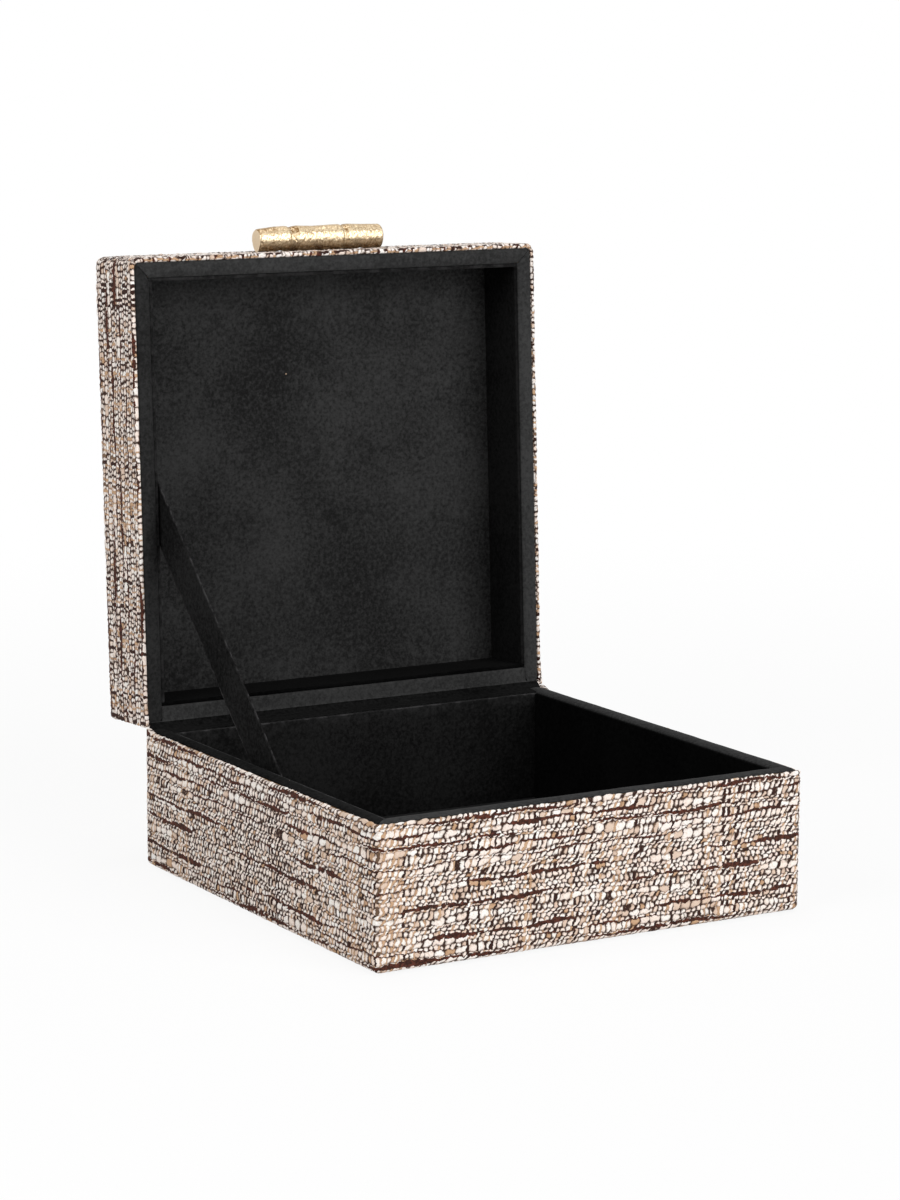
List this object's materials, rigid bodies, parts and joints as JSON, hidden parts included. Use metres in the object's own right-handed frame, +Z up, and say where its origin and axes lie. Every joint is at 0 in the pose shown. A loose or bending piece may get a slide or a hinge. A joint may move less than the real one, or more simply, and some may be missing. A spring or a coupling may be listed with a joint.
{
  "type": "hinged storage box",
  "caption": "Square keepsake box wrapped in tweed and lined in black suede, with a cloth-hinged lid held open by a ribbon and a bamboo-shaped brass handle.",
  "frame": {"origin": "middle of the underside, on the surface the box stands on", "axes": "+X to the right seen from the front, -Y to the front, +Z up; the lid stands open at rest"},
  "size_m": [0.2, 0.2478, 0.2703],
  "materials": {
    "tweed": "chunky cream and beige looped tweed with tan warp threads and dark brown slubs",
    "suede": "matt black napped suede cloth over card",
    "fibreboard": "plain fibreboard, hidden under the coverings",
    "card": "grey card, hidden",
    "brass": "hammered polished brass",
    "screw_steel": "plain machine screws, hidden"
  },
  "bodies": {
    "base": {"base_floor_board": "fibreboard", "base_front_board": "fibreboard", "base_back_board": "fibreboard", "base_left_board": "fibreboard", "base_right_board": "fibreboard", "base_fabric_cover": "tweed", "base_filler_card": "card", "base_bottom_sheet": "suede", "base_floor_liner": "suede", "base_front_liner": "suede", "base_back_liner": "suede", "base_left_liner": "suede", "base_right_liner": "suede", "base_front_rim": "suede", "base_left_rim": "suede", "base_right_rim": "suede", "hinge_cloth": "suede", "lid_strap": "suede"},
    "lid": {"lid_top_board": "fibreboard", "lid_front_board": "fibreboard", "lid_back_board": "fibreboard", "lid_left_board": "fibreboard", "lid_right_board": "fibreboard", "lid_fabric_cover": "tweed", "lid_top_liner": "suede", "lid_front_liner": "suede", "lid_back_liner": "suede", "lid_left_liner": "suede", "lid_right_liner": "suede", "lid_front_rim": "suede", "lid_left_rim": "suede", "lid_right_rim": "suede", "handle_bar": "brass", "handle_screw_left": "screw_steel", "handle_screw_right": "screw_steel"}
  },
  "joints": [
    {"name": "lid_hinge", "type": "hinge", "parent": "base", "child": "lid", "pos_m": [0, 0.1, 0.0605], "axis": [1, 0, 0], "range_deg": [0, 93], "deforming": ["lid_strap", "hinge_cloth"]}
  ]
}
